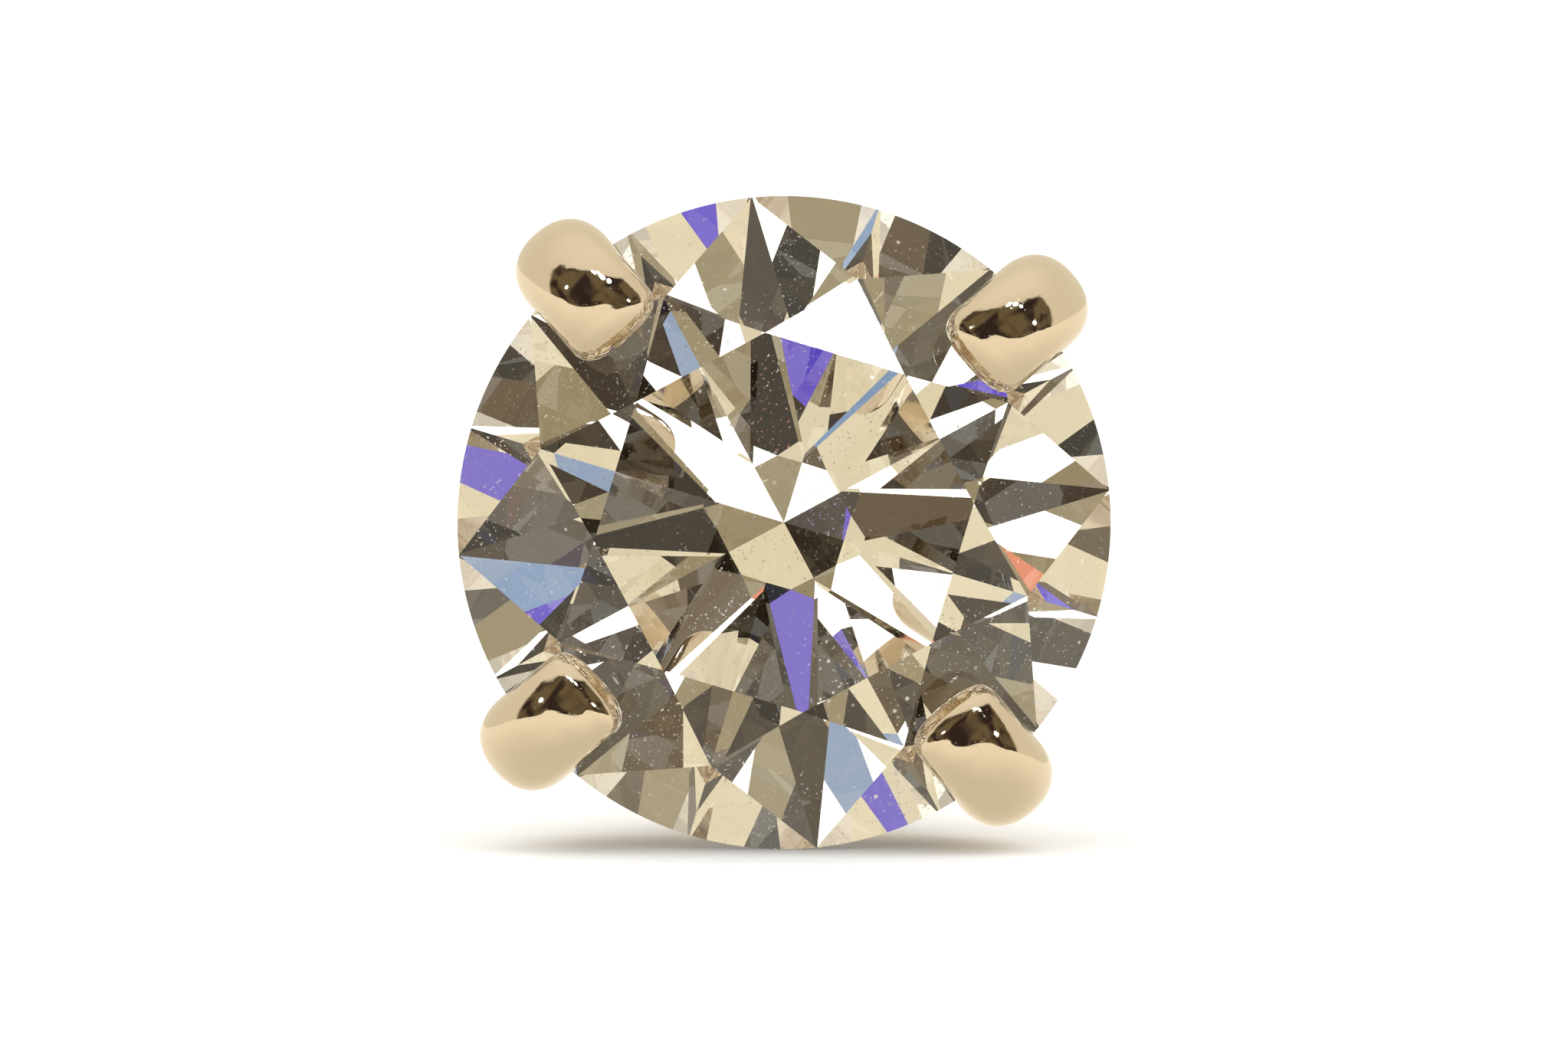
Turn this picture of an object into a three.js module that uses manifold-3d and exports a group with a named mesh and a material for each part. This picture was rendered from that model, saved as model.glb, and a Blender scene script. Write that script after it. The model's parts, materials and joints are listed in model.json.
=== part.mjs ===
// A four-claw stud earring: a round brilliant stone, a cast basket setting with its soldered post,
// and the butterfly back on the post. Millimetres, +Z up.
//
// The pieces are made in the earring's own frame: +Z points out of the stone's table, the post runs
// along -Z and the girdle's mid-plane is z = 0. The earring is then laid on its side as it rests,
// on the stone's girdle in front and on the lower scroll of the butterfly back behind. It faces -Y
// and looks up by the few degrees that those two contacts give it.

import * as THREE from 'three';
import { LoftGeometry } from 'three/addons/geometries/LoftGeometry.js';
import { mergeVertices } from 'three/addons/utils/BufferGeometryUtils.js';
import Module from 'manifold-3d';

// The stone. Shares are of its radius, in plan.
const STONE_RADIUS = 3.25;
const FACET_FOLD = 8;
const BEZEL_TURN = 5.7; // degrees from the frame's +X to a bezel facet's middle
const TABLE_CORNER_SHARE = 0.582;
const STAR_TIP_SHARE = 0.776;
const LOWER_TIP_SHARE = 0.22; // where two lower halves meet between two pavilion mains
const CROWN_ANGLE = 34.5;
const PAVILION_ANGLE = 40.75;
const GIRDLE_HALF_HEIGHT = 0.07; // at the bezel facets
const GIRDLE_STEPS = 6; // straight sides of the girdle to one half facet

// The claws, by stations from the base cup up to the tip over the crown.
const CLAW_COUNT = 4;
const CLAW_TURN = 40.6; // degrees from the frame's +X to the first claw
const CLAW_SIDES = 20;
const CLAW_STATIONS = [
  { r: 1.12, z: -3.62, halfWidth: 0.4, halfDepth: 0.4 },
  { r: 1.72, z: -2.8, halfWidth: 0.42, halfDepth: 0.42 },
  { r: 2.36, z: -1.95, halfWidth: 0.44, halfDepth: 0.44 },
  { r: 2.93, z: -1.15, halfWidth: 0.48, halfDepth: 0.48 },
  { r: 3.2, z: -0.6, halfWidth: 0.505, halfDepth: 0.5 },
  { r: 3.28, z: -0.1, halfWidth: 0.51, halfDepth: 0.51 },
  { r: 3.24, z: 0.25, halfWidth: 0.51, halfDepth: 0.51 },
  { r: 3.09, z: 0.5, halfWidth: 0.5, halfDepth: 0.5 },
  { r: 2.88, z: 0.63, halfWidth: 0.5, halfDepth: 0.45 },
  { r: 2.65, z: 0.69, halfWidth: 0.49, halfDepth: 0.37 },
  { r: 2.47, z: 0.72, halfWidth: 0.41, halfDepth: 0.28 },
  { r: 2.4, z: 0.73, halfWidth: 0.28, halfDepth: 0.17 },
];
const SEAT_SCALE = 1.008; // the seat is cut by a stone this much larger, which leaves a hair's gap

// The gallery rail, a ring of round wire that ties the claws together under the girdle
const RAIL_RADIUS = 2.56;
const RAIL_Z = -1.6;
const RAIL_WIRE_RADIUS = 0.34;
const RAIL_SIDES = 12;
const RAIL_STEPS = 64;

// The base cup and the post, one turned shape
const CUP_BACK_Z = -3.95;
const CUP_HEIGHT = 0.78;
const CUP_RADIUS = 1.5;
const CUP_EDGE = 0.12;
const CUP_FLOOR = 0.42; // thickness under the hollow
const CUP_HOLLOW_RADIUS = 1.0;
const FILLET_RADIUS = 0.2; // of the solder where the post leaves the cup
const POST_RADIUS = 0.425;
const POST_LENGTH = 9.5; // from the cup's back face
const NOTCH_FROM_TIP = 1.25;
const NOTCH_LENGTH = 0.5;
const NOTCH_DEPTH = 0.09;
const TIP_ROUND = 0.22;
const STEM_SIDES = 40;

// The butterfly back: a plate with a strip at each end curled into a scroll beside the post
const LOBE_GAP = 5.6; // from the cup's back face to the plate
const STRIP_THICKNESS = 0.28;
const SCROLL_RADIUS = 1.05; // outside
const SCROLL_WIDTH = 3.1;
const SCROLL_TIGHT_RADIUS = 0.4; // of the strip's middle, at its inner end
const SCROLL_ROUND_DEGREES = 240; // the stretch of constant radius
const SCROLL_TURN_DEGREES = 500; // from the plate to the inner end
const SCROLL_STEPS = 50;
const PLATE_HALF_WIDTH = 2.15;
const PLATE_CORNER = 1.2;
const BACK_CLEARANCE = 0.03; // between the butterfly back and the post

const WHITE_GOLD = { color: 0xd8c8aa, roughness: 0.12, metalness: 1 };
const DIAMOND = { color: 0xf2f0e8, roughness: 0.02, metalness: 0 };

const wasm = await Module();
wasm.setup();

const radians = THREE.MathUtils.degToRad;

// A point at a radius, an azimuth in degrees and a height
function polar(radius, degrees, z) {
  return new THREE.Vector3(radius * Math.cos(radians(degrees)), radius * Math.sin(radians(degrees)), z);
}

function solidOf(geometry) {
  const bare = new THREE.BufferGeometry().copy(geometry);
  bare.deleteAttribute('normal');
  bare.deleteAttribute('uv');
  const merged = mergeVertices(bare, 1e-5);
  return new wasm.Manifold(
    new wasm.Mesh({
      numProp: 3,
      vertProperties: merged.attributes.position.array,
      triVerts: new Uint32Array(merged.index.array),
    }),
  );
}

function geometryOf(solid) {
  const mesh = solid.getMesh();
  const geometry = new THREE.BufferGeometry();
  geometry.setAttribute('position', new THREE.BufferAttribute(new Float32Array(mesh.vertProperties), 3));
  geometry.setIndex(new THREE.BufferAttribute(new Uint32Array(mesh.triVerts), 1));
  const flat = geometry.toNonIndexed();
  flat.computeVertexNormals();
  return flat;
}

function namedMesh(name, geometry, look) {
  const mesh = new THREE.Mesh(geometry, new THREE.MeshStandardMaterial(look));
  mesh.name = name;
  return mesh;
}

// A round brilliant from its facets. Each facet is a flat polygon, listed anticlockwise from outside.
function brilliant(radius) {
  const step = 360 / FACET_FOLD;
  const half = step / 2;
  const halfCosine = Math.cos(radians(half));
  const crownSlope = Math.tan(radians(CROWN_ANGLE));
  const pavilionSlope = Math.tan(radians(PAVILION_ANGLE));
  const rim = GIRDLE_HALF_HEIGHT * (radius / STONE_RADIUS);
  const tableZ = rim + crownSlope * radius * (1 - TABLE_CORNER_SHARE);
  const starZ = rim + crownSlope * radius * (1 - STAR_TIP_SHARE * halfCosine);
  const lowerZ = -rim - pavilionSlope * radius * (1 - LOWER_TIP_SHARE * halfCosine);
  const culet = new THREE.Vector3(0, 0, -rim - pavilionSlope * radius);

  const tableCorner = (k) => polar(TABLE_CORNER_SHARE * radius, BEZEL_TURN + k * step, tableZ);
  const starTip = (k) => polar(STAR_TIP_SHARE * radius, BEZEL_TURN + k * step + half, starZ);
  const lowerTip = (k) => polar(LOWER_TIP_SHARE * radius, BEZEL_TURN + k * step + half, lowerZ);
  const girdle = (halves, z) => polar(radius, BEZEL_TURN + halves * half, z);

  // The girdle's edge along one half facet: points on its plane and on the stone's round side
  function edge(halves, tip, z) {
    const plane = new THREE.Plane().setFromCoplanarPoints(girdle(halves, z), girdle(halves + 1, z), tip);
    const points = [];
    for (let i = 0; i <= GIRDLE_STEPS; i++) {
      const foot = girdle(halves + i / GIRDLE_STEPS, 0);
      const height = -plane.distanceToPoint(foot) / plane.normal.z;
      const onEnd = i === 0 || i === GIRDLE_STEPS;
      points.push(foot.setZ(onEnd ? z : height));
    }
    return points;
  }

  const facets = [];
  const table = [];
  for (let k = 0; k < FACET_FOLD; k++) {
    table.push(tableCorner(k));
    facets.push([tableCorner(k), starTip(k), tableCorner(k + 1)]);
    facets.push([tableCorner(k), starTip(k - 1), girdle(2 * k, rim), starTip(k)]);
    facets.push([culet, lowerTip(k), girdle(2 * k, -rim), lowerTip(k - 1)]);
    for (const halves of [2 * k, 2 * k + 1]) {
      const upper = edge(halves, starTip(k), rim);
      const lower = edge(halves, lowerTip(k), -rim);
      facets.push([starTip(k), ...upper]);
      facets.push([lowerTip(k), ...lower.toReversed()]);
      for (let i = 0; i < GIRDLE_STEPS; i++) {
        facets.push([lower[i], lower[i + 1], upper[i + 1], upper[i]]);
      }
    }
  }
  facets.push(table);

  const positions = [];
  for (const facet of facets) {
    for (let i = 1; i < facet.length - 1; i++) {
      for (const corner of [facet[0], facet[i], facet[i + 1]]) positions.push(...corner.toArray());
    }
  }
  const geometry = new THREE.BufferGeometry();
  geometry.setAttribute('position', new THREE.Float32BufferAttribute(positions, 3));
  geometry.computeVertexNormals();
  return geometry;
}

// One claw, lofted through ovals that stand square to its centre line in the plane y = 0
function claw() {
  const centres = CLAW_STATIONS.map(({ r, z }) => new THREE.Vector3(r, 0, z));
  const last = centres.length - 1;
  const sections = CLAW_STATIONS.map(({ halfWidth, halfDepth }, i) => {
    const ahead = centres[Math.min(i + 1, last)];
    const along = ahead.clone().sub(centres[Math.max(i - 1, 0)]);
    const outward = new THREE.Vector3(along.z, 0, -along.x).normalize();
    const section = [];
    for (let j = 0; j < CLAW_SIDES; j++) {
      const angle = (j / CLAW_SIDES) * 2 * Math.PI;
      const point = centres[i].clone().addScaledVector(outward, halfDepth * Math.cos(angle));
      section.push(point.setY(halfWidth * Math.sin(angle)));
    }
    return section;
  });
  return new LoftGeometry(sections, { capStart: true, capEnd: true });
}

// The base cup and the post, turned about the axis: profile from the post's tip up to the cup's hollow
function stem() {
  const tipZ = CUP_BACK_Z - POST_LENGTH;
  const notchZ = tipZ + NOTCH_FROM_TIP;
  const notchRadius = POST_RADIUS - NOTCH_DEPTH;
  const profile = new THREE.Path();
  profile.moveTo(0, tipZ);
  profile.lineTo(POST_RADIUS - TIP_ROUND, tipZ);
  profile.quadraticCurveTo(POST_RADIUS, tipZ, POST_RADIUS, tipZ + TIP_ROUND);
  profile.lineTo(POST_RADIUS, notchZ - NOTCH_LENGTH / 2);
  profile.quadraticCurveTo(notchRadius, notchZ - NOTCH_LENGTH / 4, notchRadius, notchZ);
  profile.quadraticCurveTo(notchRadius, notchZ + NOTCH_LENGTH / 4, POST_RADIUS, notchZ + NOTCH_LENGTH / 2);
  profile.lineTo(POST_RADIUS, CUP_BACK_Z - FILLET_RADIUS);
  profile.quadraticCurveTo(POST_RADIUS, CUP_BACK_Z, POST_RADIUS + FILLET_RADIUS, CUP_BACK_Z);
  profile.lineTo(CUP_RADIUS - CUP_EDGE, CUP_BACK_Z);
  profile.lineTo(CUP_RADIUS, CUP_BACK_Z + CUP_EDGE);
  profile.lineTo(CUP_RADIUS, CUP_BACK_Z + CUP_HEIGHT - CUP_EDGE);
  profile.lineTo(CUP_RADIUS - CUP_EDGE, CUP_BACK_Z + CUP_HEIGHT);
  profile.lineTo(CUP_HOLLOW_RADIUS, CUP_BACK_Z + CUP_HEIGHT);
  profile.lineTo(CUP_HOLLOW_RADIUS / 2, CUP_BACK_Z + CUP_FLOOR);
  profile.lineTo(0, CUP_BACK_Z + CUP_FLOOR);
  const turned = new THREE.LatheGeometry(profile.getPoints(5), STEM_SIDES);
  return turned.rotateX(Math.PI / 2); // the lathe turns about Y, the earring's axis is Z
}

// The cast basket: stem, rail and claws joined, with the stone's seat cut out of the claws
function basket() {
  const rail = new THREE.TorusGeometry(RAIL_RADIUS, RAIL_WIRE_RADIUS, RAIL_SIDES, RAIL_STEPS);
  rail.translate(0, 0, RAIL_Z);
  let metal = solidOf(stem()).add(solidOf(rail));
  for (let k = 0; k < CLAW_COUNT; k++) {
    const turn = radians(CLAW_TURN + (k * 360) / CLAW_COUNT);
    metal = metal.add(solidOf(claw().rotateZ(turn)));
  }
  return geometryOf(metal.subtract(solidOf(brilliant(STONE_RADIUS * SEAT_SCALE))));
}

// The strip's outline in a scroll, seen along the scroll: from the plate's end round and inwards.
// x is the side away from the post, y is towards the stone.
function scrollOutline() {
  const wide = SCROLL_RADIUS - STRIP_THICKNESS / 2;
  const outer = [];
  const inner = [];
  for (let i = 0; i <= SCROLL_STEPS; i++) {
    const turned = (i / SCROLL_STEPS) * SCROLL_TURN_DEGREES;
    const past = Math.max(0, turned - SCROLL_ROUND_DEGREES) / (SCROLL_TURN_DEGREES - SCROLL_ROUND_DEGREES);
    const radius = THREE.MathUtils.lerp(wide, SCROLL_TIGHT_RADIUS, Math.sqrt(past));
    const angle = radians(90 - turned);
    const spoke = new THREE.Vector2(Math.cos(angle), Math.sin(angle));
    outer.push(spoke.clone().multiplyScalar(radius + STRIP_THICKNESS / 2));
    inner.push(spoke.clone().multiplyScalar(radius - STRIP_THICKNESS / 2));
  }
  return new THREE.Shape([...outer, ...inner.toReversed()]);
}

// The plate's outline: straight where the scrolls start, round at the two free sides
function plateOutline(halfLength) {
  const free = PLATE_HALF_WIDTH;
  const held = SCROLL_WIDTH / 2;
  const shape = new THREE.Shape();
  shape.moveTo(held, -halfLength);
  shape.bezierCurveTo(free, -PLATE_CORNER, free, PLATE_CORNER, held, halfLength);
  shape.lineTo(-held, halfLength);
  shape.bezierCurveTo(-free, PLATE_CORNER, -free, -PLATE_CORNER, -held, -halfLength);
  shape.closePath();
  return shape;
}

// The butterfly back, with its plate's front face at z = 0 and the scrolls behind it, along x
function butterflyBack() {
  const scrollY = POST_RADIUS + BACK_CLEARANCE + SCROLL_RADIUS;
  const sheet = { depth: STRIP_THICKNESS, bevelEnabled: false };
  const plate = new THREE.ExtrudeGeometry(plateOutline(scrollY), sheet);
  plate.translate(0, 0, -STRIP_THICKNESS);
  const scroll = new THREE.ExtrudeGeometry(scrollOutline(), { depth: SCROLL_WIDTH, bevelEnabled: false });
  scroll.rotateX(Math.PI / 2); // the scroll now runs along -y
  scroll.translate(0, SCROLL_WIDTH / 2, 0);
  const bore = new THREE.CylinderGeometry(1, 1, 4 * SCROLL_RADIUS, STEM_SIDES);
  bore.scale(POST_RADIUS + BACK_CLEARANCE, 1, POST_RADIUS + BACK_CLEARANCE);
  bore.rotateX(Math.PI / 2);
  let metal = solidOf(plate);
  for (const side of [1, -1]) {
    const placed = scroll.clone().translate(scrollY, 0, -SCROLL_RADIUS);
    metal = metal.add(solidOf(placed.rotateZ((side * Math.PI) / 2)));
  }
  return geometryOf(metal.subtract(solidOf(bore)));
}

// The tilt at which the girdle's back edge and the lower scroll touch one level surface
function restingTilt() {
  const scrollDrop = POST_RADIUS + BACK_CLEARANCE + SCROLL_RADIUS;
  const scrollZ = CUP_BACK_Z - LOBE_GAP - SCROLL_RADIUS;
  const along = -GIRDLE_HALF_HEIGHT - scrollZ;
  const up = STONE_RADIUS - scrollDrop;
  return Math.atan2(up, along) - Math.asin(SCROLL_RADIUS / Math.hypot(along, up));
}

const back = namedMesh('butterfly_back', butterflyBack(), WHITE_GOLD);
back.position.z = CUP_BACK_Z - LOBE_GAP;

const earring = new THREE.Group();
earring.add(namedMesh('stone', brilliant(STONE_RADIUS), DIAMOND));
earring.add(namedMesh('setting', basket(), WHITE_GOLD));
earring.add(back);
earring.rotation.x = Math.PI / 2 - restingTilt();

// The whole stands with the middle of its footprint at the origin
const box = new THREE.Box3().setFromObject(earring, true);
const middle = box.getCenter(new THREE.Vector3());
earring.position.set(-middle.x, -middle.y, -box.min.z);

const laid = new THREE.Group();
laid.add(earring);

export default laid;
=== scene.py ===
# A four-claw stud earring: a round brilliant stone in a cast basket, with its post and butterfly back.
# Sizes are in millimetres in the earring's own frame: +Z points out of the stone's table, the post runs
# along -Z and the girdle's mid-plane is z = 0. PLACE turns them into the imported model's metres.

import json
import math

import bmesh
import bpy
import numpy as np
from mathutils import Matrix, Vector


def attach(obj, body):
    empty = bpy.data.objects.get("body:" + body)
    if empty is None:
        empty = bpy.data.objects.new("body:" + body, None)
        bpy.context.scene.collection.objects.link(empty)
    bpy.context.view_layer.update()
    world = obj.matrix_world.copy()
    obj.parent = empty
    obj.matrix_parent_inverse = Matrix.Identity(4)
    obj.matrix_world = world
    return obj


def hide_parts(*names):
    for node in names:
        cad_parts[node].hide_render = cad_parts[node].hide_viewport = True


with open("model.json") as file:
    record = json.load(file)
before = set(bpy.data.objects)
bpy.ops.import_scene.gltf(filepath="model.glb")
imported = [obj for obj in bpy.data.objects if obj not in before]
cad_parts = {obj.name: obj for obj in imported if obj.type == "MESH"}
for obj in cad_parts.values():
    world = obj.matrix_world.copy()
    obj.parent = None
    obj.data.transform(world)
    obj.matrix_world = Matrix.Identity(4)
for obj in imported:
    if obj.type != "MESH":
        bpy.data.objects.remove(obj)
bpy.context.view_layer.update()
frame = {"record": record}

MILLIMETRE = 0.001

# The stone. Shares are of its radius, in plan.
STONE_RADIUS = 3.25
FACET_FOLD = 8
BEZEL_TURN = 5.7  # degrees from +X to a bezel facet's middle
TABLE_CORNER_SHARE = 0.582
STAR_TIP_SHARE = 0.776
LOWER_TIP_SHARE = 0.22
CROWN_ANGLE = 34.5
PAVILION_ANGLE = 40.75
GIRDLE_HALF_HEIGHT = 0.07
GIRDLE_STEPS = 12
SEAT_SCALE = 1.006  # the seat cut in the claws is this much larger than the stone

# The basket
CLAW_COUNT = 4
CLAW_TURN = 40.6
CLAW_STATIONS = (  # distance from the axis, height, half width and half depth, from the cup to the tip
    (1.12, -3.62, 0.40, 0.40),
    (1.72, -2.80, 0.42, 0.42),
    (2.36, -1.95, 0.44, 0.44),
    (2.93, -1.15, 0.48, 0.48),
    (3.20, -0.60, 0.505, 0.50),
    (3.28, -0.10, 0.51, 0.51),
    (3.24, 0.25, 0.51, 0.51),
    (3.09, 0.50, 0.50, 0.50),
    (2.88, 0.63, 0.50, 0.45),
    (2.65, 0.69, 0.495, 0.37),
    (2.40, 0.73, 0.48, 0.28),
)
CLAW_END_ROUNDING = 0.24
CLAW_STEPS = 120
CLAW_SIDES = 28
CLAW_SQUARENESS = 2.3  # 2 is an oval wire, more is flatter on its sides
RAIL_RADIUS = 2.56
RAIL_Z = -1.6
RAIL_WIRE_RADIUS = 0.34
CUP_BACK_Z = -3.95
CUP_HEIGHT = 0.78
CUP_RADIUS = 1.5
CUP_EDGE = 0.12
CUP_FLOOR = 0.42
CUP_HOLLOW_RADIUS = 1.0
CUP_FLOOR_RADIUS = 0.5
POST_RADIUS = 0.425
POST_LENGTH = 9.5
NOTCH_FROM_TIP = 1.25
NOTCH_LENGTH = 0.5
NOTCH_DEPTH = 0.09
TIP_ROUND = 0.3
TURNED_STEPS = 48  # round the post, the cup and the drilled hole
CAST_FILLET = 0.22
CAST_GRAIN = 0.045  # spacing of the cast surface's points

# The butterfly back
LOBE_GAP = 5.6
STRIP_THICKNESS = 0.28
SCROLL_RADIUS = 1.05
SCROLL_WIDTH = 3.1
SCROLL_TIGHT_RADIUS = 0.4
SCROLL_ROUND_DEGREES = 240  # of its turn that a scroll keeps its full radius
SCROLL_TURN_DEGREES = 500
SCROLL_STATIONS = 110
PLATE_BULGE = 0.45  # of the plate, beyond the scrolls at each side
PLATE_STATIONS = 40
STRIP_EDGE = 0.09
DIMPLE_DEPTH = 0.1
DIMPLE_RADIUS = 0.62
BACK_CLEARANCE = 0.03
DRILL_START = 0.5  # above the plate
DRILL_LENGTH = 1.2

CAMERA_DISTANCE = 260.0
CAMERA_LENS = 600.0
SOFTBOX_WATTS = 5.0


def place_from_record():
    """The turn and the place of the earring's own frame, from the mount on the back of the cup."""
    mount = next(m for m in frame["record"]["mounts"] if m["name"] == "cup_back_face")
    out = -Vector(mount["axis"]).normalized()
    right = Vector((1, 0, 0))
    up = out.cross(right)
    mount_side = 1.0 * MILLIMETRE  # the mount's point is this far to the right of the axis
    centre = Vector(mount["pos_m"]) - right * mount_side - out * CUP_BACK_Z * MILLIMETRE
    turn = Matrix((right, up, out)).transposed().to_4x4()
    return Matrix.Translation(centre) @ turn @ Matrix.Scale(MILLIMETRE, 4)


PLACE = place_from_record()
TURN = PLACE.to_3x3().normalized()
CENTRE = PLACE.translation.copy()


def toward(off_axis, azimuth):
    """The direction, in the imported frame, at two angles in degrees from the stone's axis and its right."""
    tilt, turn = math.radians(off_axis), math.radians(azimuth)
    return TURN @ Vector((math.sin(tilt) * math.cos(turn), math.sin(tilt) * math.sin(turn), math.cos(tilt)))


# ---------------------------------------------------------------- shader and node helpers


class Wire:
    """An output socket of a node tree, which can be added, multiplied and so on."""

    def __init__(self, graph, socket):
        self.graph = graph
        self.socket = socket

    def __getitem__(self, name):
        return Wire(self.graph, pick(self.socket.node.outputs, name))

    def math(self, operation, first, second=0.0):
        return self.graph.node("ShaderNodeMath", {"operation": operation}, {0: first, 1: second})

    def __add__(self, other):
        return self.math("ADD", self, other)

    def __sub__(self, other):
        return self.math("SUBTRACT", self, other)

    def __rsub__(self, other):
        return self.math("SUBTRACT", other, self)

    def __mul__(self, other):
        return self.math("MULTIPLY", self, other)

    def __truediv__(self, other):
        return self.math("DIVIDE", self, other)

    def __gt__(self, other):
        return self.math("GREATER_THAN", self, other)

    def __lt__(self, other):
        return self.math("LESS_THAN", self, other)

    __radd__ = __add__
    __rmul__ = __mul__


def pick(sockets, name):
    if isinstance(name, int):
        return sockets[name]
    return next(s for s in sockets if name in (s.identifier, s.name))


class Graph:
    """A node tree that is filled from the script."""

    def __init__(self, tree):
        self.tree = tree
        tree.nodes.clear()

    def node(self, kind, settings=None, sockets=None):
        """A new node: its settings, with a ramp's stops as flat steps, then its sockets."""
        made = self.tree.nodes.new(kind)
        for name, value in (settings or {}).items():
            if name == "stops":
                made.color_ramp.interpolation = "CONSTANT"
                ramp = made.color_ramp.elements
                while len(ramp) < len(value):
                    ramp.new(1.0)
                for stop, (position, colour) in zip(ramp, value):
                    stop.position = position
                    stop.color = (*colour, 1.0)
            else:
                setattr(made, name, value)
        for name, value in (sockets or {}).items():
            socket = pick(made.inputs, name)
            if isinstance(value, Wire):
                self.tree.links.new(value.socket, socket)
            else:
                socket.default_value = value
        return Wire(self, made.outputs[0]) if len(made.outputs) else made

    def mix(self, share, first, second):
        """A colour between two colours."""
        colours = {"Factor_Float": share, "A_Color": colour(first), "B_Color": colour(second)}
        return self.node("ShaderNodeMix", {"data_type": "RGBA"}, colours)["Result_Color"]

    def step(self, value, low, high):
        """A smooth rise from 0 at low to 1 at high."""
        settings = {"interpolation_type": "SMOOTHSTEP"}
        sockets = {"Value": value, "From Min": low, "From Max": high}
        return self.node("ShaderNodeMapRange", settings, sockets)

    def noise(self, where, scale, detail=2.0, roughness=0.5):
        settings = {"noise_dimensions": "3D"}
        sockets = {"Vector": where, "Scale": scale, "Detail": detail, "Roughness": roughness}
        return self.node("ShaderNodeTexNoise", settings, sockets)

    def stretched(self, where, turn, scale):
        return self.node("ShaderNodeMapping", {}, {"Vector": where, "Rotation": turn, "Scale": scale})


def colour(value):
    return value if isinstance(value, Wire) else (*value, 1.0)


def own_millimetres(graph):
    """Object coordinates turned into the earring's own frame, in millimetres."""
    place = {"Location": CENTRE, "Rotation": TURN.to_euler(), "Scale": (MILLIMETRE,) * 3}
    coordinates = graph.node("ShaderNodeTexCoord")["Object"]
    return graph.node("ShaderNodeMapping", {"vector_type": "TEXTURE"}, {"Vector": coordinates, **place})


def new_finish(name):
    material = bpy.data.materials.new(name)
    material.use_nodes = True
    graph = Graph(material.node_tree)
    return material, graph, own_millimetres(graph)


def close_finish(graph, sockets):
    surface = graph.node("ShaderNodeBsdfPrincipled", {}, sockets)
    graph.node("ShaderNodeOutputMaterial", {}, {"Surface": surface})


# ---------------------------------------------------------------- finishes


def scratches(graph, where, turns, fineness, keep):
    """Fine straight hairlines in a few directions: 1 on a line, 0 beside it."""
    lines = 0.0
    for turn in turns:
        across = graph.stretched(where, turn, (fineness, fineness, fineness * 0.02))
        lines = lines + graph.step(graph.noise(across, 1.0, 0.0), keep, keep + 0.03)
    return lines


def cut_diamond():
    """Polished facets: clear, with specks of dust and a few hairlines on the crown."""
    material, graph, where = new_finish("cut_diamond")
    cells = graph.node("ShaderNodeTexVoronoi", {}, {"Vector": where, "Scale": 4.0})
    chance = graph.node("ShaderNodeSeparateXYZ", {}, {0: cells["Color"]})["X"]
    handled = graph.step(graph.noise(where, 0.9, 1.0), 0.48, 0.66)
    specks = graph.step(cells["Distance"], 0.11, 0.06) * (chance > 0.35) * handled
    lines = scratches(graph, where, ((0.4, 1.2, 0.3), (1.5, 0.5, 1.1), (0.2, 0.9, 2.2)), 30.0, 0.79)
    crown = graph.step(graph.node("ShaderNodeSeparateXYZ", {}, {0: where})["Z"], 0.05, 0.12)
    dust = graph.node(
        "ShaderNodeBsdfPrincipled",
        {},
        {"Base Color": graph.mix(chance, (0.94, 0.92, 0.86), (0.75, 0.70, 0.62)), "Roughness": 0.8},
    )
    facets = graph.node(
        "ShaderNodeBsdfPrincipled",
        {},
        {
            "Base Color": graph.mix(handled, (1.0, 0.995, 0.98), (0.985, 0.985, 0.975)),
            "Roughness": lines * crown * 0.1,
            "IOR": 2.417,
            "Specular Tint": (0.35, 0.35, 0.35, 1.0),
            "Transmission Weight": 1.0,
        },
    )
    share = crown * (specks * 0.85 + lines * handled * 0.22)
    surface = graph.node("ShaderNodeMixShader", {}, {"Fac": share, 1: facets, 2: dust})
    graph.node("ShaderNodeOutputMaterial", {}, {"Surface": surface})
    return material


def bruted_girdle():
    """The girdle as it comes from bruting: frosted and slightly grained."""
    material, graph, where = new_finish("bruted_girdle")
    grain = graph.noise(where, 22.0, 3.0)
    bump = graph.node("ShaderNodeBump", {}, {"Strength": 0.3, "Distance": 0.00001, "Height": grain})
    sockets = {
        "Base Color": graph.mix(grain, (0.93, 0.93, 0.9), (0.8, 0.79, 0.76)),
        "Roughness": graph.step(grain, 0.2, 0.8) * 0.25 + 0.25,
        "IOR": 2.417,
        "Transmission Weight": 1.0,
        "Normal": bump,
    }
    close_finish(graph, sockets)
    return material


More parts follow.
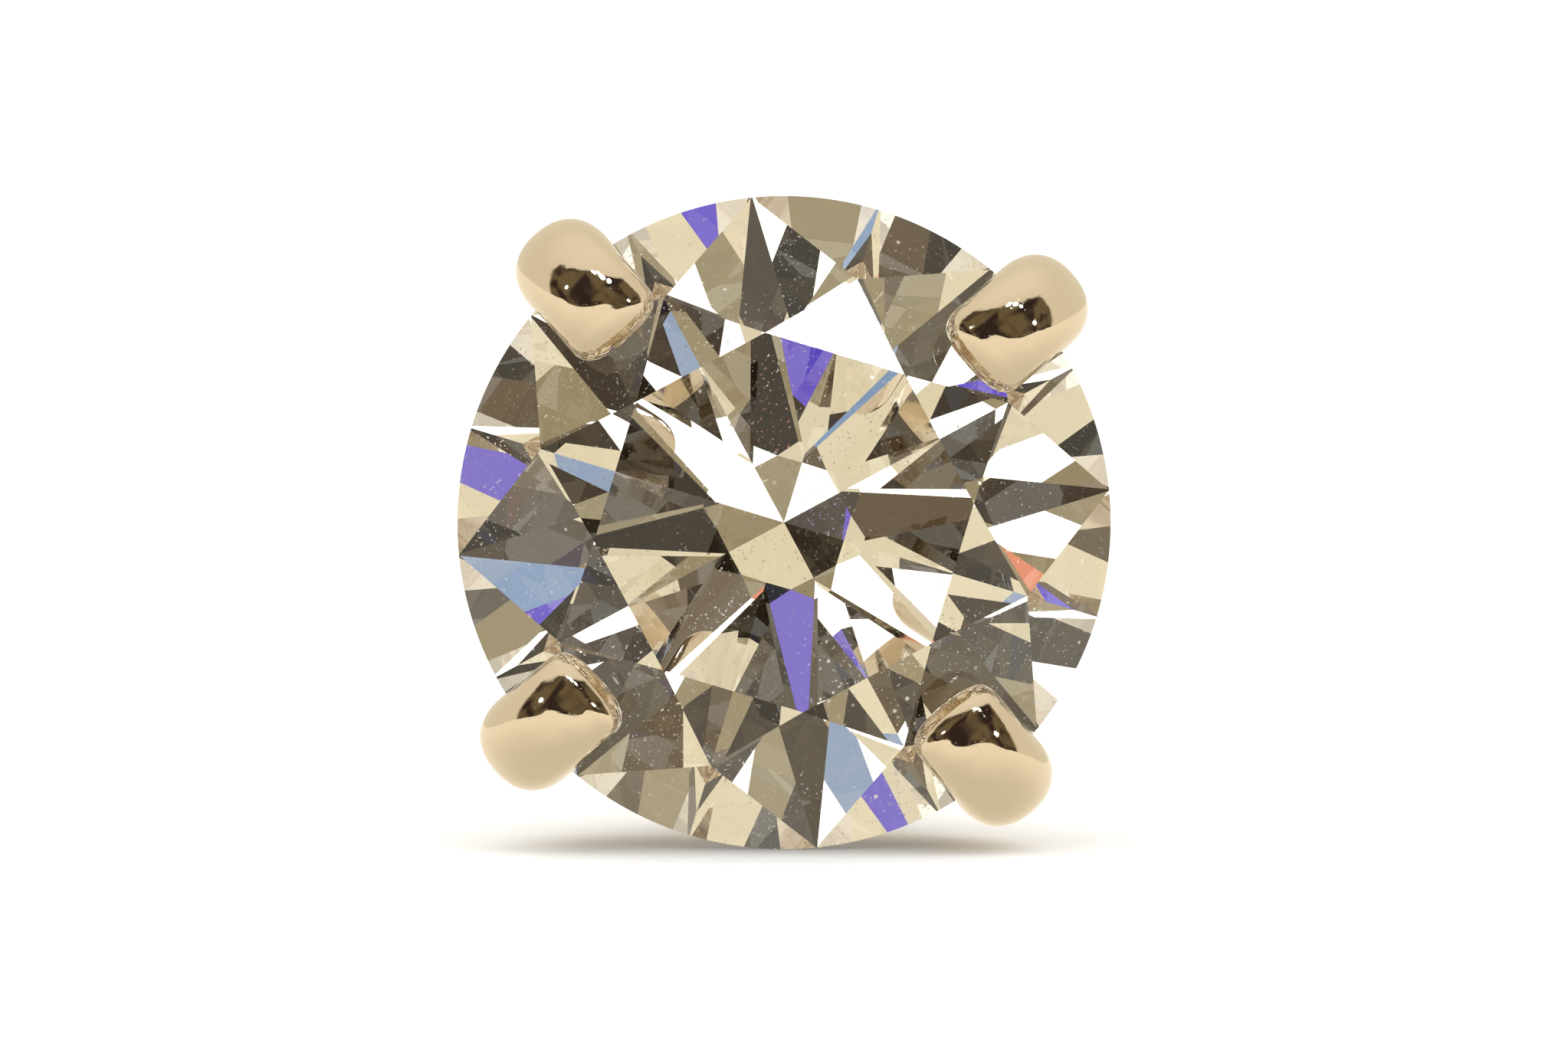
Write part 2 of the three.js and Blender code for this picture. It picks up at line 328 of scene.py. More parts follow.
def polished_white_gold():
    """Cast and polished white gold with a warm cast, duller where a polishing brush can't reach, and darker
    and browner towards the back of the setting as painted shade.
    """
    material, graph, where = new_finish("polished_white_gold")
    cloud = graph.noise(where, 1.3, 3.0)
    lines = scratches(graph, where, ((0.3, 0.9, 0.2), (1.2, 0.2, 0.7), (0.1, 1.5, 1.9)), 26.0, 0.76)
    swirl = graph.noise(where, 2.2, 1.0)
    depth = graph.node("ShaderNodeSeparateXYZ", {}, {0: where})["Z"]
    # 1 towards the back of the setting, over the lower basket, the cup and the post: duller unpolished metal
    # there, and painted shade in the base colour
    inside = graph.step(depth, -0.9, -2.6)
    height = swirl * 0.3 + lines * -0.02 + graph.noise(where, 9.0, 2.0) * inside * 0.12
    bump = graph.node("ShaderNodeBump", {}, {"Strength": 0.35, "Distance": 0.00002, "Height": height})
    warm = graph.mix(cloud, (0.80, 0.695, 0.545), (0.84, 0.745, 0.60))
    sockets = {
        # painted shade: the base colour darkens towards brown at the back of the setting
        "Base Color": graph.mix(inside * 0.25, warm, (0.55, 0.46, 0.34)),
        "Roughness": cloud * 0.05 + lines * 0.06 + inside * 0.14 + 0.02,
        "Metallic": 1.0,
        "Normal": bump,
    }
    close_finish(graph, sockets)
    return material


def pressed_white_gold():
    """Rolled sheet of the butterfly back: fine rolling lines and rubbed high spots."""
    material, graph, where = new_finish("pressed_white_gold")
    rolled = graph.noise(graph.stretched(where, (0, 0, 0), (40.0, 1.5, 1.5)), 1.0, 2.0)
    cloud = graph.noise(where, 1.8, 3.0)
    lines = scratches(graph, where, ((0.2, 0.5, 0.9), (1.1, 1.4, 0.3)), 22.0, 0.74)
    height = rolled * 0.25 + lines * -0.05 + cloud * 0.2
    bump = graph.node("ShaderNodeBump", {}, {"Strength": 0.4, "Distance": 0.00002, "Height": height})
    sockets = {
        "Base Color": graph.mix(cloud, (0.76, 0.66, 0.52), (0.84, 0.75, 0.62)),
        "Roughness": cloud * 0.14 + rolled * 0.08 + lines * 0.08 + 0.06,
        "Metallic": 1.0,
        "Normal": bump,
    }
    close_finish(graph, sockets)
    return material


# ---------------------------------------------------------------- geometry nodes


def add_input(tree, name, kind, value):
    socket = tree.interface.new_socket(name, in_out="INPUT", socket_type=kind)
    if value is not None:
        socket.default_value = value
    return socket.identifier


def ring_of_copies():
    """A tree that turns copies of its geometry about Z, joins them and gives them their finish."""
    tree = bpy.data.node_groups.new("ring_of_copies", "GeometryNodeTree")
    tree.interface.new_socket("Geometry", in_out="INPUT", socket_type="NodeSocketGeometry")
    tree.interface.new_socket("Geometry", in_out="OUTPUT", socket_type="NodeSocketGeometry")
    names = {
        "Copies": add_input(tree, "Copies", "NodeSocketInt", 4),
        "Join within": add_input(tree, "Join within", "NodeSocketFloat", 0.0001),
        "Finish": add_input(tree, "Finish", "NodeSocketMaterial", None),
        "Side finish": add_input(tree, "Side finish", "NodeSocketMaterial", None),
        "Side reach": add_input(tree, "Side reach", "NodeSocketFloat", -1.0),
    }
    graph = Graph(tree)
    given = graph.node("NodeGroupInput")
    spots = graph.node("GeometryNodePoints", {}, {"Count": given["Copies"]})
    index = graph.node("GeometryNodeInputIndex")
    turn = index * (2 * math.pi) / given["Copies"]
    spin = graph.node("ShaderNodeCombineXYZ", {}, {"Z": turn})
    copies = graph.node(
        "GeometryNodeInstanceOnPoints",
        {},
        {"Points": spots, "Instance": given["Geometry"], "Rotation": spin},
    )
    real = graph.node("GeometryNodeRealizeInstances", {}, {"Geometry": copies})
    joined = graph.node(
        "GeometryNodeMergeByDistance", {}, {"Geometry": real, "Distance": given["Join within"]}
    )
    faced = graph.node("GeometryNodeSetMaterial", {}, {"Geometry": joined, "Material": given["Finish"]})
    normal = graph.node("GeometryNodeInputNormal")
    upright = graph.node("ShaderNodeSeparateXYZ", {}, {0: normal})["Z"]
    level = graph.node("ShaderNodeMath", {"operation": "ABSOLUTE"}, {0: upright})
    side = {"Geometry": faced, "Material": given["Side finish"], "Selection": level < given["Side reach"]}
    graph.node("NodeGroupOutput", {}, {"Geometry": graph.node("GeometryNodeSetMaterial", {}, side)})
    return tree, names


def bent_ring():
    """A tree that makes a ring of round wire."""
    tree = bpy.data.node_groups.new("bent_ring", "GeometryNodeTree")
    tree.interface.new_socket("Geometry", in_out="OUTPUT", socket_type="NodeSocketGeometry")
    names = {
        "Ring radius": add_input(tree, "Ring radius", "NodeSocketFloat", 1.0),
        "Wire radius": add_input(tree, "Wire radius", "NodeSocketFloat", 0.1),
        "Height": add_input(tree, "Height", "NodeSocketFloat", 0.0),
        "Finish": add_input(tree, "Finish", "NodeSocketMaterial", None),
    }
    graph = Graph(tree)
    given = graph.node("NodeGroupInput")
    circle = "GeometryNodeCurvePrimitiveCircle"
    ring = graph.node(circle, {}, {"Resolution": 128, "Radius": given["Ring radius"]})
    wire = graph.node(circle, {}, {"Resolution": 32, "Radius": given["Wire radius"]})
    swept = graph.node("GeometryNodeCurveToMesh", {}, {"Curve": ring, "Profile Curve": wire})
    lift = graph.node("ShaderNodeCombineXYZ", {}, {"Z": given["Height"]})
    lifted = graph.node("GeometryNodeTransform", {}, {"Geometry": swept, "Translation": lift})
    real = graph.node("GeometryNodeRealizeInstances", {}, {"Geometry": lifted})
    last = graph.node("GeometryNodeSetMaterial", {}, {"Geometry": real, "Material": given["Finish"]})
    graph.node("NodeGroupOutput", {}, {"Geometry": last})
    return tree, names


def grown(mesh, made_tree, values):
    """The plain mesh that a tree makes from a mesh, with the tree's named inputs set."""
    tree, names = made_tree
    holder = bpy.data.objects.new("holder", mesh)
    bpy.context.scene.collection.objects.link(holder)
    modifier = holder.modifiers.new("tree", "NODES")
    modifier.node_group = tree
    for name, value in values.items():
        modifier[names[name]] = value
    return evaluated(holder)


def evaluated(holder):
    """The mesh of an object with its modifiers applied. The object goes."""
    depsgraph = bpy.context.evaluated_depsgraph_get()
    result = bpy.data.meshes.new_from_object(holder.evaluated_get(depsgraph))
    bpy.data.objects.remove(holder)
    return result


# ---------------------------------------------------------------- shapes


def mesh_of(name, points, faces):
    mesh = bpy.data.meshes.new(name)
    mesh.from_pydata([tuple(p) for p in points], [], faces)
    shape = bmesh.new()
    shape.from_mesh(mesh)
    bmesh.ops.remove_doubles(shape, verts=shape.verts, dist=1e-6)
    bmesh.ops.recalc_face_normals(shape, faces=shape.faces)
    shape.to_mesh(mesh)
    shape.free()
    return mesh


def cosine(degrees):
    return math.cos(math.radians(degrees))


def polar(radius, degrees, z):
    turn = math.radians(degrees)
    return Vector((radius * math.cos(turn), radius * math.sin(turn), z))


def brilliant_sector(scale):
    """An eighth of a round brilliant, closed to the next eighth, as flat facets."""
    radius = STONE_RADIUS * scale
    step = 360 / FACET_FOLD
    half = step / 2
    shrink = cosine(half)
    crown = math.tan(math.radians(CROWN_ANGLE))
    pavilion = math.tan(math.radians(PAVILION_ANGLE))
    rim = GIRDLE_HALF_HEIGHT * scale
    table_z = rim + crown * radius * (1 - TABLE_CORNER_SHARE)
    star_z = rim + crown * radius * (1 - STAR_TIP_SHARE * shrink)
    lower_z = -rim - pavilion * radius * (1 - LOWER_TIP_SHARE * shrink)
    middle = Vector((0, 0, table_z))
    culet = Vector((0, 0, -rim - pavilion * radius))

    def table_corner(k):
        return polar(TABLE_CORNER_SHARE * radius, BEZEL_TURN + k * step, table_z)

    def star_tip(k):
        return polar(STAR_TIP_SHARE * radius, BEZEL_TURN + k * step + half, star_z)

    def lower_tip(k):
        return polar(LOWER_TIP_SHARE * radius, BEZEL_TURN + k * step + half, lower_z)

    def girdle(halves, z):
        return polar(radius, BEZEL_TURN + halves * half, z)

    def edge(halves, tip, z):
        """Where a half facet's plane meets the round side."""
        start, end = girdle(halves, z), girdle(halves + 1, z)
        normal = (end - start).cross(tip - start)
        points = []
        for i in range(GIRDLE_STEPS + 1):
            foot = girdle(halves + i / GIRDLE_STEPS, 0)
            rise = normal.dot(start - foot) / normal.z
            foot.z = rise if 0 < i < GIRDLE_STEPS else z
            points.append(foot)
        return points

    facets = [
        [middle, table_corner(0), table_corner(1)],
        [table_corner(0), star_tip(0), table_corner(1)],
        [table_corner(0), star_tip(-1), girdle(0, rim), star_tip(0)],
        [culet, lower_tip(0), girdle(0, -rim), lower_tip(-1)],
    ]
    for halves in (0, 1):
        upper = edge(halves, star_tip(0), rim)
        lower = edge(halves, lower_tip(0), -rim)
        facets.append([star_tip(0), *upper])
        facets.append([lower_tip(0), *reversed(lower)])
        for i in range(GIRDLE_STEPS):
            facets.append([lower[i], lower[i + 1], upper[i + 1], upper[i]])
    points = [p for facet in facets for p in facet]
    faces = []
    for facet in facets:
        start = sum(len(f) for f in faces)
        faces.append(tuple(range(start, start + len(facet))))
    mesh = bpy.data.meshes.new("brilliant_sector")
    mesh.from_pydata([tuple(p) for p in points], [], faces)
    return mesh


def brilliant(scale, copies_tree, facet_finish, girdle_finish):
    """A closed round brilliant."""
    values = {
        "Copies": FACET_FOLD,
        "Join within": 0.0001,
        "Finish": facet_finish,
        "Side finish": girdle_finish,
        "Side reach": 0.1,
    }
    return grown(brilliant_sector(scale), copies_tree, values)


def spline(stations, count):
    """Points on a smooth curve through the stations, evenly by station number."""
    rows = np.array(stations, float)
    padded = np.vstack([2 * rows[0] - rows[1], rows, 2 * rows[-1] - rows[-2]])
    places = np.linspace(0, len(rows) - 1 - 1e-9, count)
    whole = places.astype(int)
    t = (places - whole)[:, None]
    a, b, c, d = (padded[whole + i] for i in range(4))
    return 0.5 * (2 * b + (c - a) * t + (2 * a - 5 * b + 4 * c - d) * t**2 + (3 * b - a - 3 * c + d) * t**3)


def sleeve(sections, sides):
    """The faces of a closed sleeve over sections that have the same number of points."""
    faces = []
    for i in range(sections - 1):
        for j in range(sides):
            a, b = i * sides + j, i * sides + (j + 1) % sides
            faces.append((a, b, b + sides, a + sides))
    faces.append(tuple(range(sides)))
    faces.append(tuple(range((sections - 1) * sides, sections * sides)))
    return faces


def tube(line, sides):
    """A closed tube in the plane y = 0 along rows of radius, height, half width and half depth."""
    points = []
    along = np.gradient(line[:, :2], axis=0)
    along /= np.linalg.norm(along, axis=1)[:, None]
    turns = np.linspace(0, 2 * np.pi, sides, endpoint=False)
    for (r, z, half_width, half_depth), (dr, dz) in zip(line, along):
        for turn in turns:
            off = half_depth * math.cos(turn)
            points.append((r + dz * off, half_width * math.sin(turn), z - dr * off))
    return mesh_of("tube", points, sleeve(len(line), sides))


def turned(profile, steps):
    """A solid turned about Z from a profile of radius and height that starts and ends on the axis."""
    points = []
    for k in range(steps):
        turn = 2 * math.pi * k / steps
        points += [(r * math.cos(turn), r * math.sin(turn), z) for r, z in profile]
    count = len(profile)
    faces = []
    for k in range(steps):
        for i in range(count - 1):
            a, b = k * count + i, ((k + 1) % steps) * count + i
            faces.append((a, b, b + 1, a + 1))
    return mesh_of("turned", points, faces)


def stem_profile():
    """The base cup and the post, from the post's tip up to the hollow of the cup."""
    tip = CUP_BACK_Z - POST_LENGTH
    notch = tip + NOTCH_FROM_TIP
    half = NOTCH_LENGTH / 2
    top = CUP_BACK_Z + CUP_HEIGHT
    round_tip = [
        (POST_RADIUS * math.sin(math.radians(a)), tip + TIP_ROUND * (1 - math.cos(math.radians(a))))
        for a in range(0, 91, 10)
    ]
    groove = [
        (POST_RADIUS - NOTCH_DEPTH * (0.5 + 0.5 * math.cos(math.pi * s)), notch + s * half)
        for s in np.linspace(-1, 1, 13)
    ]
    cup = [
        (POST_RADIUS, CUP_BACK_Z),
        (CUP_RADIUS - CUP_EDGE, CUP_BACK_Z),
        (CUP_RADIUS, CUP_BACK_Z + CUP_EDGE),
        (CUP_RADIUS, top - CUP_EDGE),
        (CUP_RADIUS - CUP_EDGE, top),
        (CUP_HOLLOW_RADIUS, top),
        (CUP_FLOOR_RADIUS, CUP_BACK_Z + CUP_FLOOR),
        (0.0, CUP_BACK_Z + CUP_FLOOR),
    ]
    return np.array(round_tip + groove + cup, float)


def stem_distance(p):
    """Distance from the base cup and post, negative inside, from the outline of their profile."""
    outline = stem_profile()
    q = np.column_stack([np.hypot(p[:, 0], p[:, 1]), p[:, 2]])
    nearest = np.full(len(q), np.inf)
    inside = np.zeros(len(q), bool)
    for a, b in zip(outline[:-1], outline[1:]):
        side = b - a
        share = np.clip(((q - a) @ side) / (side @ side), 0, 1)
        nearest = np.minimum(nearest, np.linalg.norm(q - a - share[:, None] * side, axis=1))
        crosses = (a[1] > q[:, 1]) != (b[1] > q[:, 1])
        if a[1] != b[1]:
            inside ^= crosses & (q[:, 0] < a[0] + (q[:, 1] - a[1]) / (b[1] - a[1]) * side[0])
    return np.where(inside, -nearest, nearest)


def rail_distance(p):
    return np.hypot(np.hypot(p[:, 0], p[:, 1]) - RAIL_RADIUS, p[:, 2] - RAIL_Z) - RAIL_WIRE_RADIUS


def claw_distance(p, line):
    """Distance from the nearest claw, by turning each point into the first claw's plane."""
    step = 2 * np.pi / CLAW_COUNT
    start = np.radians(CLAW_TURN)
    turn = np.arctan2(p[:, 1], p[:, 0]) - start
    turn = turn - step * np.round(turn / step)
    radius = np.hypot(p[:, 0], p[:, 1])
    r, side, z = radius * np.cos(turn), radius * np.sin(turn), p[:, 2]
    stride = np.gradient(line[:, :2], axis=0)
    rows = np.hstack([line, stride])
    numbers = np.arange(len(rows))
    apart = (r[:, None] - line[:, 0]) ** 2 + (z[:, None] - line[:, 1]) ** 2
    place = np.argmin(apart, axis=1).astype(float)
    for _ in range(3):
        at = [np.interp(place, numbers, column) for column in rows.T]
        near_r, near_z, half_width, half_depth, dr, dz = at
        place += ((r - near_r) * dr + (z - near_z) * dz) / (dr**2 + dz**2)
    stride_length = np.hypot(dr, dz)
    off = ((r - near_r) * dz - (z - near_z) * dr) / stride_length
    reach = np.abs(off / half_depth) ** CLAW_SQUARENESS + np.abs(side / half_width) ** CLAW_SQUARENESS
    wire = (reach ** (1 / CLAW_SQUARENESS) - 1) * np.minimum(half_depth, half_width)
    end_dr, end_dz = stride[-1] / np.linalg.norm(stride[-1])
    past_tip = (r - line[-1, 0]) * end_dr + (z - line[-1, 1]) * end_dz
    root_dr, root_dz = stride[0] / np.linalg.norm(stride[0])
    before_root = (line[0, 0] - r) * root_dr + (line[0, 1] - z) * root_dz
    return -blended(-wire, -np.maximum(past_tip, before_root), CLAW_END_ROUNDING)


def blended(first, second, fillet):
    """The smaller of two distances, with a fillet where they meet."""
    near = np.maximum(fillet - np.abs(first - second), 0) / fillet
    return np.minimum(first, second) - near**2 * fillet / 4


def cast_distance(p, line):
    metal = blended(claw_distance(p, line), rail_distance(p), CAST_FILLET)
    return blended(metal, stem_distance(p), CAST_FILLET)


def drawn_to_cast(mesh, line):
    """Moves a mesh's points onto the cast surface, with its fillets."""
    points = np.empty(len(mesh.vertices) * 3)
    mesh.vertices.foreach_get("co", points)
    points = points.reshape(-1, 3)
    reach = 0.004
    longest_step = 0.05
    for _ in range(4):
        base = cast_distance(points, line)
        slope = np.empty_like(points)
        for axis in range(3):
            moved = points.copy()
            moved[:, axis] += reach
            slope[:, axis] = (cast_distance(moved, line) - base) / reach
        size = np.maximum((slope**2).sum(axis=1), 0.25)
        points -= slope * np.clip(base / size, -longest_step, longest_step)[:, None]
    mesh.vertices.foreach_set("co", points.ravel())
    mesh.update()


def joined(meshes):
    shape = bmesh.new()
    for mesh in meshes:
        shape.from_mesh(mesh)
    whole = bpy.data.meshes.new("joined")
    shape.to_mesh(whole)
    shape.free()
    return whole


def with_modifier(mesh, kind, settings):
    """The mesh with one modifier applied."""
    holder = bpy.data.objects.new("holder", mesh)
    bpy.context.scene.collection.objects.link(holder)
    modifier = holder.modifiers.new("change", kind)
    for name, value in settings.items():
        setattr(modifier, name, value)
    return evaluated(holder)


def cut_by(mesh, cutter_mesh):
    """The mesh less another closed mesh."""
    cutter = bpy.data.objects.new("cutter", cutter_mesh)
    bpy.context.scene.collection.objects.link(cutter)
    settings = {"operation": "DIFFERENCE", "solver": "EXACT", "object": cutter}
    result = with_modifier(mesh, "BOOLEAN", settings)
    bpy.data.objects.remove(cutter)
    return result


def basket_and_post(copies_tree, ring_tree, finish):
    """Claws, rail, cup and post as one cast and soldered piece, with the stone's seat cut out."""
    line = spline(CLAW_STATIONS, CLAW_STEPS)
    first = tube(line[::2], CLAW_SIDES)
    first.transform(Matrix.Rotation(math.radians(CLAW_TURN), 4, "Z"))
    claws = grown(first, copies_tree, {"Copies": CLAW_COUNT, "Finish": finish})
    sizes = {
        "Ring radius": RAIL_RADIUS,
        "Wire radius": RAIL_WIRE_RADIUS,
        "Height": RAIL_Z,
        "Finish": finish,
    }
    rail = grown(bpy.data.meshes.new("rail"), ring_tree, sizes)
    stem = turned(stem_profile(), TURNED_STEPS)
    settings = {"mode": "VOXEL", "voxel_size": CAST_GRAIN}
    whole = with_modifier(joined([claws, rail, stem]), "REMESH", settings)
    drawn_to_cast(whole, line)
    seat = brilliant(SEAT_SCALE, copies_tree, finish, finish)
    return cut_by(whole, seat)


def strip_line():
    """The bent strip's middle line, as distance above the post's axis and height: scroll, plate, scroll."""
    wide = SCROLL_RADIUS - STRIP_THICKNESS / 2
    turned = np.linspace(0, SCROLL_TURN_DEGREES, SCROLL_STATIONS)
    past = np.clip((turned - SCROLL_ROUND_DEGREES) / (SCROLL_TURN_DEGREES - SCROLL_ROUND_DEGREES), 0, 1)
    radius = SCROLL_TIGHT_RADIUS + (wide - SCROLL_TIGHT_RADIUS) * (1 - past) ** 2
    middle = POST_RADIUS + BACK_CLEARANCE + SCROLL_RADIUS
    away = middle + radius * np.sin(np.radians(turned))
    height = radius * np.cos(np.radians(turned)) - SCROLL_RADIUS
    scroll = np.column_stack([away, height])
    plate = np.linspace(-middle, middle, PLATE_STATIONS)[1:-1]
    flat = np.column_stack([plate, np.full(len(plate), -STRIP_THICKNESS / 2)])
    return np.vstack([scroll[::-1] * (-1, 1), flat, scroll])


def strip_section(half_width, half_thickness):
    """The strip's outline across its length, with softly rounded edges."""
    flat = np.linspace(-1, 1, 25) * (half_width - STRIP_EDGE)
    turns = np.radians(np.linspace(90, -90, 9)[1:-1])
    out = half_width - STRIP_EDGE + STRIP_EDGE * np.cos(turns)
    edge = np.column_stack([out, half_thickness * np.sin(turns)])
    top = np.column_stack([flat, np.full(len(flat), half_thickness)])
    return np.vstack([top, edge, top[::-1] * (1, -1), edge[::-1] * (-1, 1)])


def bent_strip():
    """The butterfly back: a strip with both ends rolled up and a dimpled hole for the post."""
    line = strip_line()
    along = np.gradient(line, axis=0)
    along /= np.linalg.norm(along, axis=1)[:, None]
    number = np.arange(len(line))
    in_plate = (number >= SCROLL_STATIONS) & (number < len(line) - SCROLL_STATIONS)
    reach = line[in_plate][-1, 0]
    bulge = np.where(in_plate, np.cos(np.clip(line[:, 0] / reach, -1, 1) * np.pi / 2) ** 2, 0)
    from_end = np.minimum(number, number[::-1])
    thin = np.sqrt(1 - (1 - np.clip((from_end + 0.3) / 2, 0, 1)) ** 2)
    points = []
    for (y, z), (dy, dz), extra, share in zip(line, along, bulge, thin):
        section = strip_section(SCROLL_WIDTH / 2 + PLATE_BULGE * extra, STRIP_THICKNESS / 2 * share)
        points += [(x, y - dz * lift, z + dy * lift) for x, lift in section]
    points = np.array(points)
    sides = len(points) // len(line)
    near_plate = points[:, 2] > -STRIP_THICKNESS - 0.01
    off_axis = np.hypot(points[:, 0], points[:, 1])
    points[:, 2] -= np.where(near_plate, DIMPLE_DEPTH * np.exp(-((off_axis / DIMPLE_RADIUS) ** 4)), 0)
    points[:, 2] += CUP_BACK_Z - LOBE_GAP
    top = CUP_BACK_Z - LOBE_GAP + DRILL_START
    bottom = top - DRILL_LENGTH
    hole = POST_RADIUS + BACK_CLEARANCE
    drill = turned([(0, bottom), (hole, bottom), (hole, top), (0, top)], TURNED_STEPS)
    return cut_by(mesh_of("bent_strip", points, sleeve(len(line), sides)), drill)


def finished(name, mesh, finishes, node, soft_edge):
    """Puts a piece in its place, smooth but for edges sharper than soft_edge, or all flat if that is 0."""
    mesh.transform(PLACE)
    mesh.materials.clear()
    for finish in finishes:
        mesh.materials.append(finish)
    if soft_edge:
        mesh.shade_smooth()
        mesh.set_sharp_from_angle(angle=math.radians(soft_edge))
    else:
        mesh.shade_flat()
    mesh.name = name
    piece = bpy.data.objects.new(name, mesh)
    bpy.context.scene.collection.objects.link(piece)
    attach(piece, "root")
    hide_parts(node)


# ---------------------------------------------------------------- the pieces

copies = ring_of_copies()
ring = bent_ring()
diamond = cut_diamond()
girdle = bruted_girdle()
gold = polished_white_gold()
sheet = pressed_white_gold()

stone_mesh = brilliant(1.0, copies, diamond, girdle)
finished("round_brilliant", stone_mesh, (diamond, girdle), "stone", soft_edge=0)
setting_mesh = basket_and_post(copies, ring, gold)
finished("claw_basket_and_post", setting_mesh, (gold,), "setting", soft_edge=32)
back_mesh = bent_strip()
finished("rolled_strip_back", back_mesh, (sheet,), "butterfly_back", soft_edge=40)

# ---------------------------------------------------------------- the studio


def white_board():
    """The plain pale surface that the earring lies on."""
    material, graph, where = new_finish("white_board")
    fibre = graph.noise(where, 1.2, 4.0)
    close_finish(
        graph,
        {"Base Color": graph.mix(fibre, (0.9, 0.897, 0.885), (0.93, 0.928, 0.92)), "Roughness": 0.9},
    )
    return material


def floor():
    half = 3.0
    points = [(-half, -half, 0), (half, -half, 0), (half, half, 0), (-half, half, 0)]
    mesh = mesh_of("floor", points, [(0, 1, 2, 3)])
    mesh.materials.append(white_board())
    board = bpy.data.objects.new("floor", mesh)
    bpy.context.scene.collection.objects.link(board)
    board.visible_glossy = False
    board.visible_transmission = False
    board.visible_shadow = False


MIRRORING_STAR = 1  # star facets count round from 0, just past the first bezel facet
# Lamps that show on outer surfaces, at the angle where that star facet mirrors the first straight ahead:
# degrees round from the facet's middle, half width, colour
LAMPS = (
    (0, 3.5, (16.0, 17.0, 18.0)),
    (-13, 3, (6.0, 6.3, 6.8)),
    (13, 3, (6.0, 6.3, 6.8)),
    (-55, 3.5, (5.0, 5.2, 5.4)),
    (82, 3, (5.0, 5.0, 4.8)),
)
# The patches of the room that show in the stone: the share of them at which each tone starts
ROOM_TONES = (
    (0.0, (0.012, 0.008, 0.004)),  # black cloth
    (0.28, (0.10, 0.066, 0.032)),  # brown wood
    (0.45, (0.34, 0.275, 0.155)),  # shaded wall
    (0.62, (0.82, 0.71, 0.47)),  # cream wall
    (0.79, (1.8, 1.75, 1.6)),  # white card in full light
    (0.925, (0.13, 0.08, 0.62)),  # violet fire
    (0.96, (0.26, 0.37, 0.55)),  # blue fire
    (0.988, (0.90, 0.34, 0.20)),  # coral fire
)
PATCH_EDGE = 0.12  # how soft a lamp's or flag's edge is, as a share of its half width
ROOM_PATCHES = 14.0
ROOM_SHIFT = (0.0, 11.0, 0.0)
FRONT_FLAG = (0, 0, 10, (0.06, 0.045, 0.03))  # a dark flag straight ahead: a patch, as lamps_on_star gives


def lamps_on_star():
    """The lamps as patches: degrees off the stone's axis, azimuth, half width, colour."""
    step = 360 / FACET_FOLD
    half_cosine = cosine(step / 2)
    fall = math.tan(math.radians(CROWN_ANGLE)) * (STAR_TIP_SHARE * half_cosine - TABLE_CORNER_SHARE)
    slope = math.degrees(math.atan2(fall, STAR_TIP_SHARE - TABLE_CORNER_SHARE * half_cosine))
    middle = BEZEL_TURN + (MIRRORING_STAR + 0.5) * step
    return [(2 * slope, middle + turn, half_width, tone) for turn, half_width, tone in LAMPS]


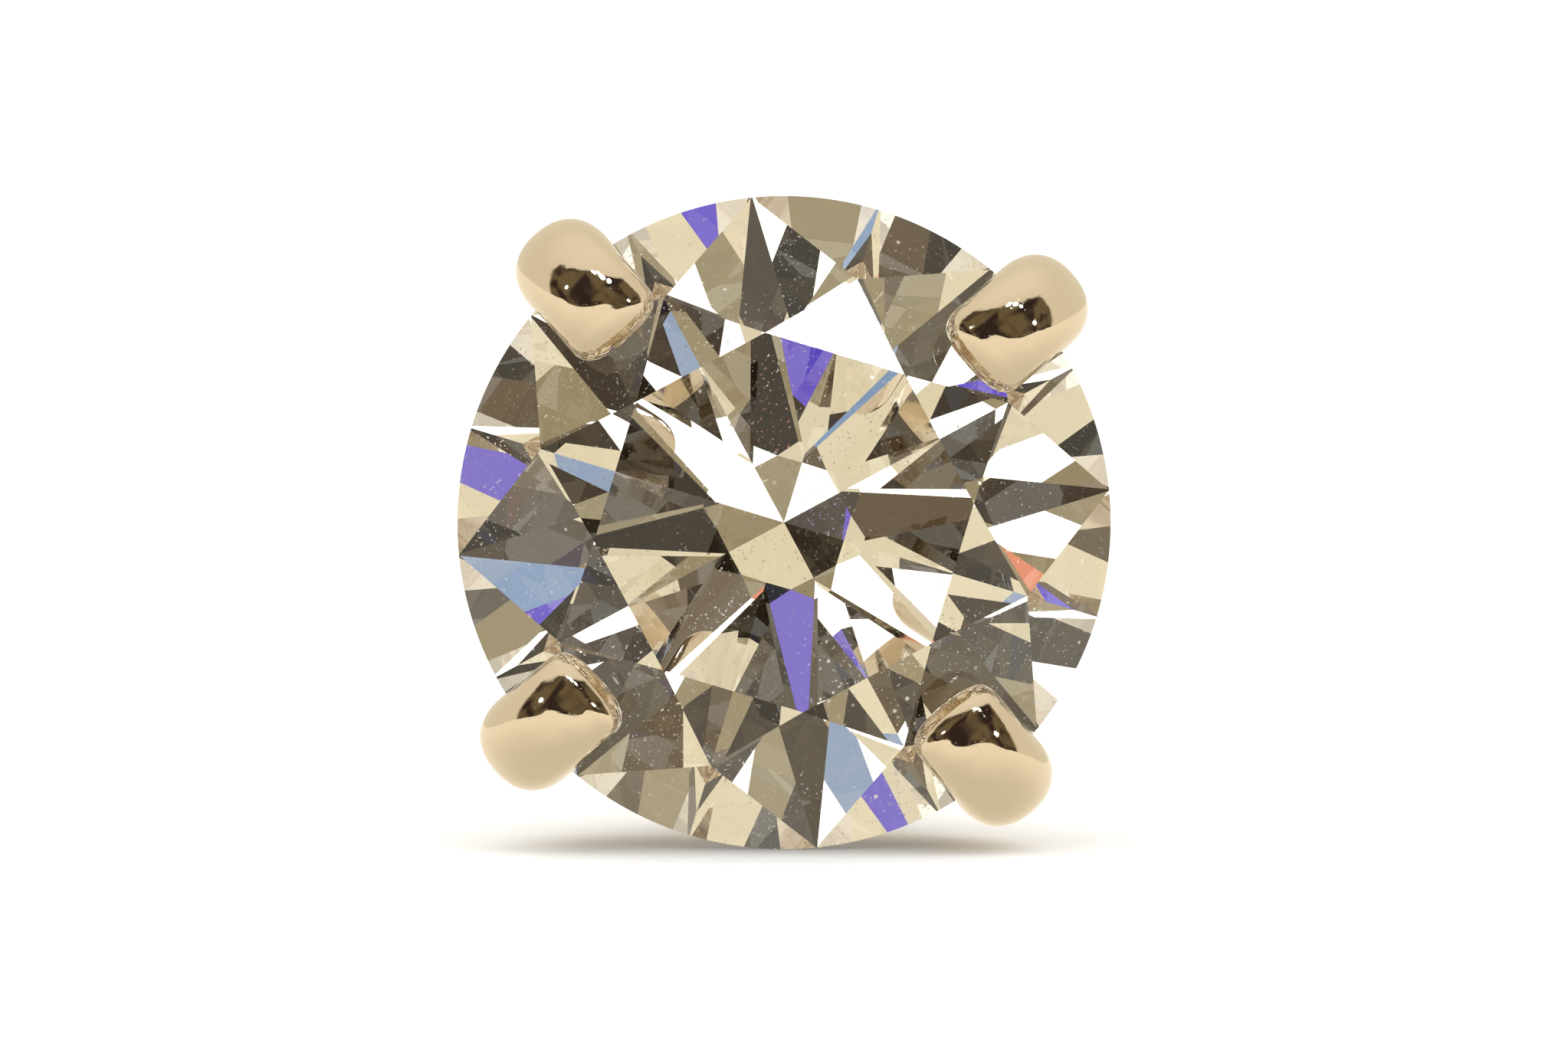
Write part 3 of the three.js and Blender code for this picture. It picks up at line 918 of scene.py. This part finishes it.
def studio_walls():
    """A plain pale room, but walls and lamps in what metal mirrors, and patches in the stone."""
    world = bpy.data.worlds.new("studio")
    bpy.context.scene.world = world
    world.use_nodes = True
    graph = Graph(world.node_tree)
    looking = graph.node("ShaderNodeTexCoord")["Generated"]
    path = graph.node("ShaderNodeLightPath")

    def along(direction):
        sockets = {0: looking, 1: direction}
        return graph.node("ShaderNodeVectorMath", {"operation": "DOT_PRODUCT"}, sockets)["Value"]

    def hang(light, patches):
        for off_axis, azimuth, half_width, tone in patches:
            near = cosine(half_width * (1 - PATCH_EDGE))
            far = cosine(half_width * (1 + PATCH_EDGE))
            light = graph.mix(graph.step(along(toward(off_axis, azimuth)), far, near), light, tone)
        return light

    facing = along(toward(0, 0))
    height = along(Vector((0, 0, 1)))
    front = graph.step(facing, cosine(95), cosine(60))
    shifted = graph.node("ShaderNodeMapping", {}, {"Vector": looking, "Location": ROOM_SHIFT})
    cells = graph.node("ShaderNodeTexVoronoi", {}, {"Vector": shifted, "Scale": ROOM_PATCHES})
    chance = graph.node("ShaderNodeSeparateXYZ", {}, {0: cells["Color"]})["X"]
    patches_in_stone = graph.node("ShaderNodeValToRGB", {"stops": ROOM_TONES}, {"Fac": chance})
    below = graph.step(height, 0.02, -0.02)
    room = graph.mix(front, (0.85, 0.76, 0.60), patches_in_stone)
    room = graph.mix(below * 0.12, room, (0.78, 0.71, 0.58))
    in_stone = hang(room, [FRONT_FLAG])
    clouds = graph.step(graph.noise(looking, 2.4, 1.0), 0.42, 0.62)
    table = graph.mix(graph.step(height, 0.0, -0.9), (1.02, 0.92, 0.74), (0.74, 0.67, 0.52))
    walls = graph.mix(graph.step(height, 0.55, 1.0), (0.80, 0.72, 0.56), (0.92, 0.84, 0.68))
    dark_room = graph.mix(clouds, (0.035, 0.022, 0.018), (0.16, 0.12, 0.065))
    dark = graph.step(height, 0.76, 0.70) * graph.step(facing, cosine(80), cosine(72))
    above = graph.mix(dark, walls, dark_room)
    on_metal = graph.mix(graph.step(height, 0.008, -0.008), above, table)
    mirrored = hang(on_metal, lamps_on_star())
    light = graph.mix(path["Is Glossy Ray"], (1.1, 1.1, 1.09), mirrored)
    light = graph.mix(path["Is Transmission Ray"], light, in_stone)
    background = graph.node("ShaderNodeBackground", {}, {"Color": light, "Strength": 1.0})
    graph.node("ShaderNodeOutputWorld", {}, {"Surface": background})


def softbox_above():
    """One large soft light over the board, which keeps the board pale."""
    lamp = bpy.data.lights.new("softbox_above", "AREA")
    lamp.shape = "RECTANGLE"
    lamp.size = 1.6
    lamp.size_y = 1.2
    lamp.energy = SOFTBOX_WATTS
    lamp.color = (1.0, 0.99, 0.975)
    holder = bpy.data.objects.new("softbox_above", lamp)
    bpy.context.scene.collection.objects.link(holder)
    holder.location = (0, 0.1, 0.7)
    holder.visible_glossy = False
    holder.visible_transmission = False
    holder.visible_camera = False


def camera():
    eye = bpy.data.cameras.new("camera")
    eye.lens = CAMERA_LENS
    eye.clip_start = 0.001
    eye.clip_end = 20
    holder = bpy.data.objects.new("camera", eye)
    bpy.context.scene.collection.objects.link(holder)
    stand = CENTRE + toward(0, 0) * CAMERA_DISTANCE * MILLIMETRE
    holder.matrix_world = Matrix.Translation(stand) @ TURN.to_4x4()
    bpy.context.scene.camera = holder


def light_paths():
    """Enough bounces for light that runs round inside the stone, and untouched tones."""
    scene = bpy.context.scene
    scene.cycles.max_bounces = 24
    scene.cycles.glossy_bounces = 24
    scene.cycles.transmission_bounces = 24
    scene.view_settings.view_transform = "Standard"


floor()
studio_walls()
softbox_above()
camera()
light_paths()
